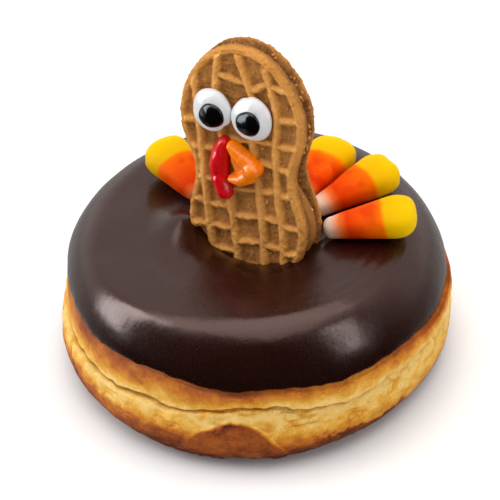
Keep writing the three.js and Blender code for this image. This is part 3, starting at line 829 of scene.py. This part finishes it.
def dough_marks(turn, points, levels, crease):
    """Where the marks of the crust lie, mostly from 0 to 1 at each point."""
    marks = SimpleNamespace()
    marks.side = (levels > -0.05) & (levels < 2.02)
    marks.above = points[..., 2] - crease[:, None]
    marks.flap, marks.flap_lip = crust_flap(turn, points, levels)
    marks.flattened = flat = points * [1, 1, WRINKLE_FLATNESS]
    marks.creases = ridge(noise(flat, 4.4), 0.1) * ease(noise(points, 7), -0.2, 0.2)
    marks.wrinkles = ridge(noise(flat, 2.6), 0.13) * ease(noise(points, 5), -0.15, 0.25)
    foot_line = ridge(levels - 0.3 - 0.03 * noise(points, 6), 0.022)
    marks.foot_line = 0.5 * foot_line * ease(noise(points, 9), -0.2, 0.2)
    # Where the painted shadow of the crease lies, just under its line
    marks.groove = 0.85 * ridge(marks.above + 0.1, 0.5 + 0.3 * noise(points, 3)) * marks.side
    marks.fold_zone = ease(levels, 0.55, 0.8) * ease(-levels, -1.03, -0.97)
    return marks


def dough_swell(turn, points, levels, marks):
    """How far the crust swells out at each point."""
    notch = ridge(marks.above, NOTCH_WIDTH)
    depth = NOTCH_DEPTH + lumps(ring_points(turn), NOTCH_WAVER)[:, None]
    lips = sum(rise * ridge(marks.above - up, width) for up, width, rise in CREASE_LIPS)
    folds = np.abs(stretched_noise(turn, points[..., 2], *FOLDS))
    rim = ease(-levels, -0.34, -0.1) * (levels > -0.02)
    swell = lips * (1 + noise(points, 3)) - depth * notch + lumps(points, SIDE_LUMPS) - SIDE_SINK
    swell = swell * marks.side + 0.25 * marks.flap + 0.1 * marks.flap_lip
    crinkles = 0.16 * folds - 0.45 * marks.creases - 0.36 * marks.wrinkles
    crinkles = crinkles + lumps(marks.flattened, FOLD_LUMPS)
    swell = swell + marks.fold_zone * crinkles + rim * lumps(points, RIM_LUMPS) - marks.foot_line
    return np.where(levels > 2, 0, swell)


def dough_brown(turn, points, levels, marks):
    """How brown the crust is at each point: pale at the crease, dark at the foot."""
    browner = 0.13 * (1 + np.cos(turn - BROWNER_SIDE)[:, None]) - 0.14
    lifted = levels - browner * ease(-levels, -1, -0.9) + lumps(points, BAND_WAVER) * (levels > 0.1)
    bands = through(lifted, *zip(*BROWN_BANDS))
    crisp = through(lifted, *zip(*CRISP_BANDS))
    degrees = degrees_of(turn)
    crisp_share = ease(degrees, *CRISP_FROM) * ease(-degrees, *CRISP_TO)
    bands = bands + (crisp - bands) * crisp_share[:, None]
    brown = bands + lumps(points, BROWN_PATCHES) * ease(levels, -0.2, 0.5)
    brown = brown * (1 - 0.55 * marks.flap_lip) + marks.flap * (FLAP_BROWN - bands).clip(0)
    crinkled = marks.fold_zone * (0.2 * marks.creases + 0.12 * noise(marks.flattened, 2.1))
    return np.clip(brown + marks.foot_line + crinkled + 0.12 * marks.wrinkles * marks.side, 0, 1)


def stretched_noise(turn, height, width, tall):
    """Noise drawn out up the side: narrow folds round the ring that run upwards."""
    around = ring_points(turn)[:, None] / width + 0 * height[..., None]
    return noise(around + stacked(0 * height, 0 * height, height / tall), 1)


# Biscuit

def face_place():
    """The frame of the biscuit's middle plane: across, up and out of the face."""
    middle = Vector(BISCUIT_CENTRE) + Vector((*RING_AXIS, 0))
    lean = Matrix.Rotation(radians(90 - BISCUIT_LEAN), 4, "X")
    tilt = Matrix.Rotation(radians(BISCUIT_TILT), 4, "Z")
    return Matrix.Translation(middle) @ lean @ tilt


def half_width(share):
    lobe = np.maximum(1 - share * share, 0) ** (1 / OUTLINE_POWER)
    waist = 1 - WAIST_DEPTH * ridge(share, WAIST_SPAN)
    return lobe * waist * (1 + UPPER_LOBE_GAIN * share)


WIDEST = half_width(np.linspace(-0.99, 0.99, 199)).max()


def reach_at(up):
    share = np.clip(2 * np.asarray(up) / BISCUIT_LENGTH, -1, 1)
    return BISCUIT_WIDTH / 2 * half_width(share) / WIDEST


def outline_side(angle, inwards):
    """Right-hand outline points at angles from -90 to 90 degrees, moved inwards, as across and up."""
    def at(turned):
        up = BISCUIT_LENGTH / 2 * np.sin(turned)
        return stacked(reach_at(up), up)

    run = at(np.minimum(angle + SMALL_TURN, pi / 2)) - at(np.maximum(angle - SMALL_TURN, -pi / 2))
    run = run / np.linalg.norm(run, axis=-1, keepdims=True)
    inward = stacked(-run[:, 1], run[:, 0])
    return at(angle) + inward * inwards


def outline_angles(count):
    return -pi / 2 + pi * (np.arange(count) + 0.5) / count


def outline_loop(angle, inwards):
    """The whole outline, anticlockwise from its lower tip, moved inwards."""
    right = outline_side(angle, inwards)
    right[:, 0] = np.maximum(right[:, 0], TIP_WIDTH)
    tip = BISCUIT_LENGTH / 2 - inwards
    left = right[::-1] * [-1, 1]
    return np.concatenate([[[0, -tip]], right, [[0, tip]], left])


def rounded_bar(distance, half):
    return np.maximum(1 - (distance / half) ** 2, 0) ** 0.7


def lattice_relief(across, up):
    """Height of the pressed lattice, 0 on the floor and 1 on a ridge's back."""
    height = np.zeros_like(across)
    lines = []
    for ridge_line in RIDGES:
        acrosses, ups = zip(*ridge_line[::-1])
        line = through(up, ups, acrosses)
        lines.append(line)
        ends = ease(up, ups[0] - 1, ups[0] + 0.6) * ease(-up, -ups[-1] - 1, -ups[-1] + 0.6)
        half = RIDGE_HALF_WIDTH * (1 + 0.1 * noise(np.stack([across * 0, up, line], -1), 4))
        height = np.maximum(height, rounded_bar(across - line, half) * ends)
    edge = reach_at(up) - 0.6
    bounds = [-edge] + lines + [edge]
    for left, right, ribs in zip(bounds, bounds[1:], RIBS):
        share = np.clip((across - left) / np.maximum(right - left, 0.5), 0, 1)
        lane = ease(across - left, -0.9, 0) * ease(right - across, -0.9, 0)
        lane = lane * (right - left > 2)
        middle = np.sin(pi * share)
        for rib_up, slope in ribs:
            line = rib_up + slope * (across - (left + right) / 2)
            bar = rounded_bar(up - line, RIB_HALF_WIDTH * (0.45 + 0.55 * middle ** 0.8))
            height = np.maximum(height, RIB_HEIGHT * bar * lane * (0.8 + 0.2 * middle))
    return height


def distance_inside(across, up, loop):
    """How far grid points lie inside the outline, row by row."""
    gaps = (np.hypot(x[:, None] - loop[:, 0], y[:, None] - loop[:, 1]) for x, y in zip(across, up))
    return np.array([gap.min(axis=1) for gap in gaps])


def wafer_face(angle):
    """The pressed face with its rim and lattice, as rows of points, and how pale each point is."""
    right = outline_side(angle, RIM_ROUND)
    across = np.maximum(right[:, :1], TIP_WIDTH) * np.linspace(-1, 1, WAFER_COLUMNS)[None, :]
    up = np.repeat(right[:, 1:], WAFER_COLUMNS, axis=1)
    inside = distance_inside(across, up, outline_loop(angle, 0.0)[::2])
    rim = 1 - ease(inside, RIM_WIDTH, RIM_WIDTH + 1.2)
    relief = lattice_relief(across, up) * ease(inside, 0.9, 1.9)
    height = np.maximum(FIELD_LEVEL + RELIEF_HEIGHT * relief, FIELD_LEVEL + (RIM_TOP - FIELD_LEVEL) * rim)
    pale = np.clip(0.27 + 0.5 * relief + 0.33 * rim, 0, 1)
    return stacked(across, up, height).reshape(-1, 3), pale.ravel()


def wafer_profile():
    """How far inwards and how high the wafer's side runs, from its rim down to its back."""
    quarter = pi / 2 * np.arange(1, SIDE_STEPS + 1) / SIDE_STEPS
    above = RIM_TOP - WIDEST_LEVEL
    rim = [(RIM_ROUND * (1 - sin(t)), WIDEST_LEVEL + above * cos(t)) for t in quarter]
    return rim + [(BACK_ROUND * (1 - cos(t)), WIDEST_LEVEL * (1 - sin(t))) for t in quarter]


def wafer(name, node, place, phase):
    """One wafer: a pressed face with rounded rim, its sides, and a plain face at height 0."""
    angle = outline_angles(WAFER_ROWS)
    face, pale = wafer_face(angle)
    low_tip = len(face)
    tip = BISCUIT_LENGTH / 2 - RIM_ROUND
    blocks = [face, np.array([[0, -tip, RIM_TOP], [0, tip, RIM_TOP]])]
    shades = [pale, np.array([0.6, 0.6])]
    index = np.arange(low_tip).reshape(WAFER_ROWS, WAFER_COLUMNS)
    faces = grid_faces(WAFER_ROWS, WAFER_COLUMNS)[:, ::-1].tolist()
    faces += fan(low_tip, index[0][::-1]) + fan(low_tip + 1, index[-1])
    outer = [low_tip, *index[:, -1], low_tip + 1, *index[::-1, 0]]
    start = low_tip + 2
    for inwards, level in wafer_profile():
        loop = outline_loop(angle, inwards)
        blocks.append(raised(loop, level))
        # Painted shade: the sides darken towards the back face, partly the browner baked edge and partly the
        # shade in the groove between the wafers
        shades.append(np.full(len(loop), 0.1 + 0.4 * ease(level, 0.9, RIM_TOP)))
        inner = list(range(start, start + len(loop)))
        start += len(loop)
        steps = zip(outer, inner, inner[1:] + inner[:1], outer[1:] + outer[:1])
        faces += [list(corners) for corners in steps]
        outer = inner
    blocks.append(np.array([[0, 0, 0.0]]))
    shades.append(np.array([0.5]))
    faces += fan(start, (outer + outer[:1])[::-1])
    own_grain = [GRAIN_SHIFT * phase, 0, 0]
    points = roughened(np.concatenate(blocks) + own_grain, faces, WAFER_GRAIN, WAFER_SINK) - own_grain
    add_piece(name, points, faces, materials["wafer"], "wafer", [node], place=place,
              relief=np.concatenate(shades))


def filling(place):
    """The soft filling, squeezed out near the edge low on one side and held back elsewhere."""
    loop = outline_loop(outline_angles(160), 0.0)
    turned = np.arctan2(loop[:, 1], loop[:, 0])
    low_right = hump(turned, radians(-38), 0.5)
    base = 3.2 - 2.6 * low_right + 0.35 * noise(raised(loop, 0), 4)
    outward = loop - FILLING_CENTRE
    reach = np.linalg.norm(outward, axis=1, keepdims=True)
    rows = []
    for share in np.linspace(0, 1, 9):
        waver = 0.22 * noise(raised(loop, 72 * share), 1.6)
        inwards = base - 0.7 * sin(pi * share) - waver
        moved = FILLING_CENTRE + outward * (1 - inwards[:, None] / reach)
        rows.append(raised(moved, FILLING_THICKNESS * share))
    ends = [*FILLING_CENTRE, 0], [*FILLING_CENTRE, FILLING_THICKNESS]
    points, faces = closed_rings(np.stack(rows), *ends)
    faces = [face[::-1] for face in faces]
    add_piece("nut_filling", points, faces, filling_material(), "filling", ["filling"], place=place)


def crumbs(place):
    """Loose crumbs of the biscuit, in the groove between the wafers and here and there on the front."""
    chance = np.random.default_rng(SEED + 1)
    blocks, faces = [], []
    for number in range(CRUMB_COUNT):
        size = chance.uniform(*CRUMB_SIZE)
        if number % 3:
            turned = np.array([chance.uniform(-0.3, pi / 2)])
            at = outline_side(turned, chance.uniform(*CRUMB_INSET))[0]
            at = np.append(at, chance.uniform(-CRUMB_GROOVE, CRUMB_GROOVE))
            at[0] *= chance.choice([-1, 1])
        else:
            up = chance.uniform(-24, 28)
            across = chance.uniform(-0.85, 0.85) * reach_at(up)
            at = np.array([across, up, BISCUIT_THICKNESS / 2 - RELIEF_HEIGHT + 0.6 * size])
        ball = bmesh.new()
        bmesh.ops.create_icosphere(ball, subdivisions=2, radius=size)
        points = np.array([vertex.co[:] for vertex in ball.verts])
        start = sum(len(block) for block in blocks)
        faces += [[start + vertex.index for vertex in face.verts] for face in ball.faces]
        ball.free()
        uneven = 1 + 0.9 * noise(points + 7.0 * number, size)
        blocks.append(points * uneven[:, None] * chance.uniform(0.6, 1.2, 3) + at)
    points = np.concatenate(blocks)
    add_piece("biscuit_crumbs", points, faces, materials["wafer"], "wafer", place=place,
              relief=np.full(len(points), 0.75))


# Piped features

def dome(at, half, height, turn, bottom, root, dent=None, uneven=0.1):
    """A piped blob: an uneven round dome over a bottom that may follow another surface."""
    angle = turns(DOME_SIDES)
    wave = 1 + 0.022 * np.cos(3 * angle + turn) + 0.012 * np.cos(5 * angle + 2 * turn)
    if dent is not None:
        wave = wave - DENT_DEPTH * hump(angle, dent, DENT_SPREAD)

    def ring(reach):
        return at[0] + half[0] * reach * wave * np.cos(angle), at[1] + half[1] * reach * wave * np.sin(angle)

    rows = []
    for reach in quarter_sines(DOME_RINGS):
        x, y = ring(reach)
        dips = noise(stacked(x, y, 0 * x + 10 * turn), 2.1)
        lift = dome_height(reach, height) * (1 - uneven * (0.5 + dips) * (1 - reach ** 4))
        rows.append(stacked(x, y, bottom(x, y) + lift))
    for reach in (0.97, 0.8, 0.4):
        x, y = ring(reach)
        rows.append(stacked(x, y, bottom(x, y) + root))
    crown = [*rows[0].mean(axis=0)[:2], rows[0][:, 2].max()]
    return closed_rings(np.stack(rows), crown, [*at, bottom(*at) + root])


def dome_height(reach, height):
    return height * np.maximum(1 - reach ** 2.6, 0) ** 0.5


def quarter_sines(count):
    """Shares from just past 0 to 1, closer together towards 1."""
    return np.sin(np.linspace(0, pi / 2, count + 1))[1:]


def eyes(place):
    white, black = piping_material("white"), piping_material("black")
    for side, eye in EYES.items():
        def flat(x, y):
            return 0 * np.asarray(x)

        def on_ball(x, y, at=eye["at"], half=eye["half"]):
            reach = np.hypot((x - at[0]) / half[0], (y - at[1]) / half[1])
            return dome_height(reach, EYE_HEIGHT) - PUPIL_SINK

        ball = dome(eye["at"], eye["half"], EYE_HEIGHT, eye["turn"], flat, PIPING_ROOT, eye["dent"])
        add_piece(f"eye_white_{side}", *ball, white, "white_icing", [f"eye_{side}"], place)
        pupil = dome(eye["pupil"], PUPIL_HALF, PUPIL_HEIGHT, eye["turn"] + 1, on_ball, PUPIL_ROOT,
                     uneven=0.35)
        add_piece(f"eye_pupil_{side}", *pupil, black, "black_icing", [f"pupil_{side}"], place)


def reach_to(line, x, y):
    """Distance to a line of (across, up, half width) points, as a share of the half width there."""
    nearest = np.full(np.shape(x), 9.0)
    for (ax, ay, aw), (bx, by, bw) in zip(line[:-1], line[1:]):
        run = (bx - ax) ** 2 + (by - ay) ** 2
        t = np.clip(((x - ax) * (bx - ax) + (y - ay) * (by - ay)) / run, 0, 1)
        gap = np.hypot(x - ax - t * (bx - ax), y - ay - t * (by - ay))
        nearest = np.minimum(nearest, gap / (aw + t * (bw - aw)))
    return nearest


def piled(strokes, x, y):
    """Height of several piped strokes run together."""
    total = 0
    for stroke in strokes:
        share = np.clip(1 - reach_to(stroke["line"], x, y) ** 2, 0, 1)
        total = total + (stroke["height"] * share ** 0.5) ** PILE_POWER
    return total ** (1 / PILE_POWER)


def piped_mass(strokes, centre):
    """Strokes run together into one mass, as rings round a centre that sees its whole outline."""
    angle = turns(MASS_SIDES)

    def ring(reach):
        return centre[0] + reach * np.cos(angle), centre[1] + reach * np.sin(angle)

    walk = np.linspace(0, 12, 600)
    filled = piled(strokes, *ring(walk[:, None])) > 0.12
    reach = walk[len(walk) - 1 - np.argmax(filled[::-1], axis=0)]
    for _ in range(2):
        reach = (np.roll(reach, 1) + 2 * reach + np.roll(reach, -1)) / 4
    rows = []
    for share in quarter_sines(MASS_RINGS):
        x, y = ring(reach * share)
        rows.append(stacked(x, y, np.maximum(piled(strokes, x, y), 0.15)))
    for share, level in ((1.0, -0.15), (0.985, PIPING_ROOT), (0.6, PIPING_ROOT)):
        x, y = ring(reach * share)
        rows.append(stacked(x, y, 0 * x + level))
    crown = [*centre, float(piled(strokes, *map(np.array, centre)))]
    return closed_rings(np.stack(rows), crown, [*centre, PIPING_ROOT])


def wattle_and_beak(place):
    for name, tone, strokes, centre in (("wattle", "red", WATTLE_STROKES, WATTLE_CENTRE),
                                        ("beak", "orange", BEAK_STROKES, BEAK_CENTRE)):
        points, faces = piped_mass(strokes, centre)
        add_piece(f"{name}_piping", points, faces, piping_material(tone), f"{tone}_icing", [name], place)


# Candies

def candy_place(candy):
    move = Matrix.Translation(Vector(candy["at"]) + Vector((*RING_AXIS, 0)))
    heading = Matrix.Rotation(radians(candy["heading"]), 4, "Z")
    rise = Matrix.Rotation(radians(-candy["rise"]), 4, "Y")
    return move @ heading @ rise


def candy(number, place):
    sides, steps = 72, 110
    share = np.sin(np.linspace(-pi / 2, pi / 2, steps)) / 2 + 0.5
    tip = np.clip(1 - (1 - np.minimum(share / TIP_SHARE, 1)) ** 2.4, 1e-4, 1) ** 0.4
    past = np.maximum(share - END_SHARE, 0) / (1 - END_SHARE)
    size = tip * np.clip(1 - past ** 2.2, 1e-6, 1) ** 0.42
    half = (CANDY_TIP[0] + (CANDY_END[0] - CANDY_TIP[0]) * share) * size
    tall = (CANDY_TIP[1] + (CANDY_END[1] - CANDY_TIP[1]) * share) * size / 2
    angle = turns(sides)
    waves = np.cos(angle), np.sin(angle)
    across, up = (np.sign(wave) * np.abs(wave) ** CANDY_SQUARENESS for wave in waves)
    x = CANDY_LENGTH * (share - 0.5) - TIP_REACH[number - 1] * (1 - share) ** 3
    x = np.repeat(x[:, None], sides, axis=1)
    points = stacked(x, half[:, None] * across, tall[:, None] * up)
    where = points + [0, 0, 40 * number]
    scar = ridge(noise(where, 3.4), 0.16) * ease(noise(where, 9), 0, 0.3)
    dent = 0.3 * noise(where, 5) + 0.22 * scar
    points = points * (1 - (dent * tip[:, None])[..., None] / 8)
    faces = grid_faces(steps, sides, wrap_columns=True).tolist()
    faces.append(list(range(sides))[::-1])
    faces.append(list(range((steps - 1) * sides, steps * sides)))
    add_piece(f"candy_corn_{number}", points, faces, materials["candy"], "candy", [f"candy_{number}"],
              place=place, along=np.clip(x / CANDY_LENGTH + 0.5, 0, 1))


# Light, floor and camera

def stage():
    location = (0, 0, -FLOOR_DROP * MM)
    bpy.ops.mesh.primitive_grid_add(x_subdivisions=8, y_subdivisions=8, size=FLOOR_SIZE, location=location)
    floor = bpy.context.object
    floor.visible_glossy = False
    floor.name = "floor"
    floor.data.materials.append(floor_material())


def soft_light(name, azimuth, elevation, distance, size, brightness, glossy=True, diffuse=True,
               colour=(1, 1, 1)):
    """A soft light seen from the part at an azimuth and elevation, counted from the photo's right."""
    bearing = radians(VIEW_AZIMUTH + azimuth)
    lift = radians(elevation)
    away = Vector((cos(bearing) * cos(lift), sin(bearing) * cos(lift), sin(lift)))
    data = bpy.data.lights.new(name, "AREA")
    data.shape = "RECTANGLE"
    data.size, data.size_y = size
    data.color = colour
    data.energy = brightness * pi * size[0] * size[1]
    lamp = bpy.data.objects.new(name, data)
    lamp.location = Vector((0, 0, LIT_HEIGHT * MM)) + away * distance
    lamp.rotation_euler = (-away).to_track_quat("-Z", "Y").to_euler()
    lamp.visible_glossy = glossy
    lamp.visible_diffuse = diffuse
    bpy.context.collection.objects.link(lamp)


def surroundings():
    """Pale surroundings: bright behind the part, dim on the camera's side."""
    world = bpy.data.worlds.new("studio")
    bpy.context.scene.world = world
    world.use_nodes = True
    tree = world.node_tree
    direction = put(tree, "ShaderNodeTexCoord").outputs["Generated"]
    bearing = radians(VIEW_AZIMUTH + 90)
    back = (cos(bearing), sin(bearing), 0.35)
    facing = put(tree, "ShaderNodeVectorMath", {0: direction, 1: back}, operation="DOT_PRODUCT")
    height = put(tree, "ShaderNodeSeparateXYZ", {0: direction}).outputs["Z"]
    behind = spread(tree, facing.outputs["Value"], -0.35, 0.45, 0.015, 1.0)
    background = tree.nodes["Background"]
    background.inputs["Color"].default_value = (1, 0.985, 0.97, 1)
    strength = times(tree, behind, spread(tree, height, -0.12, 0.06, 0.55, 1.0))
    tree.links.new(strength, background.inputs["Strength"])


def camera():
    azimuth, elevation = radians(VIEW_AZIMUTH), radians(VIEW_ELEVATION)
    roll = radians(VIEW_ROLL)
    back = Vector((sin(azimuth) * cos(elevation), -cos(azimuth) * cos(elevation),
                   sin(elevation)))
    level = Vector((cos(azimuth), sin(azimuth), 0))
    upright = back.cross(level)
    right = level * cos(roll) + upright * sin(roll)
    up = upright * cos(roll) - level * sin(roll)
    target = Vector((*RING_AXIS, TARGET_HEIGHT))
    place = target + back * VIEW_DISTANCE
    per_pixel = VIEW_DISTANCE / FOCAL_PIXELS
    middle = FRAME_PIXELS / 2
    aside = right * (TARGET_PIXEL[0] - middle) - up * (TARGET_PIXEL[1] - middle)
    aim = target - aside * per_pixel
    out = (place - aim).normalized()
    right = up.cross(out).normalized()
    up = out.cross(right)
    data = bpy.data.cameras.new("camera")
    data.sensor_width = SENSOR
    data.lens = FOCAL_PIXELS / FRAME_PIXELS * SENSOR
    view = bpy.data.objects.new("camera", data)
    turned = Matrix((right, up, out)).transposed().to_4x4()
    view.matrix_world = Matrix.Translation(place * MM) @ turned
    bpy.context.collection.objects.link(view)
    bpy.context.scene.camera = view


materials = {"wafer": wafer_material(), "candy": candy_material()}

camera()
dough()
icing()

middle_plane = face_place()
to_face = BISCUIT_THICKNESS / 2
to_wafer = to_face - WAFER_THICKNESS
wafer("biscuit_front", "wafer_front", middle_plane @ Matrix.Translation((0, 0, to_wafer)), 0)
slip = middle_plane @ Matrix.Translation((*BACK_SHIFT, 0))
slip = slip @ Matrix.Rotation(radians(BACK_TURN), 4, "Z")
flip = Matrix.Translation((0, 0, -to_wafer)) @ Matrix.Rotation(pi, 4, "Y")
wafer("biscuit_back", "wafer_back", slip @ flip, 1)
half_slip = Matrix.Translation((BACK_SHIFT[0] / 2, BACK_SHIFT[1] / 2, -to_wafer - FILLING_SINK))
filling(middle_plane @ half_slip @ Matrix.Rotation(radians(BACK_TURN / 2), 4, "Z"))
crumbs(middle_plane)

front_face = middle_plane @ Matrix.Translation((0, 0, to_face))
eyes(front_face)
wattle_and_beak(front_face)

for number, entry in enumerate(CANDIES, 1):
    candy(number, candy_place(entry))

stage()
surroundings()
for *light, options in LIGHTS:
    soft_light(*light, **options)
bpy.context.scene.view_settings.view_transform = "Standard"
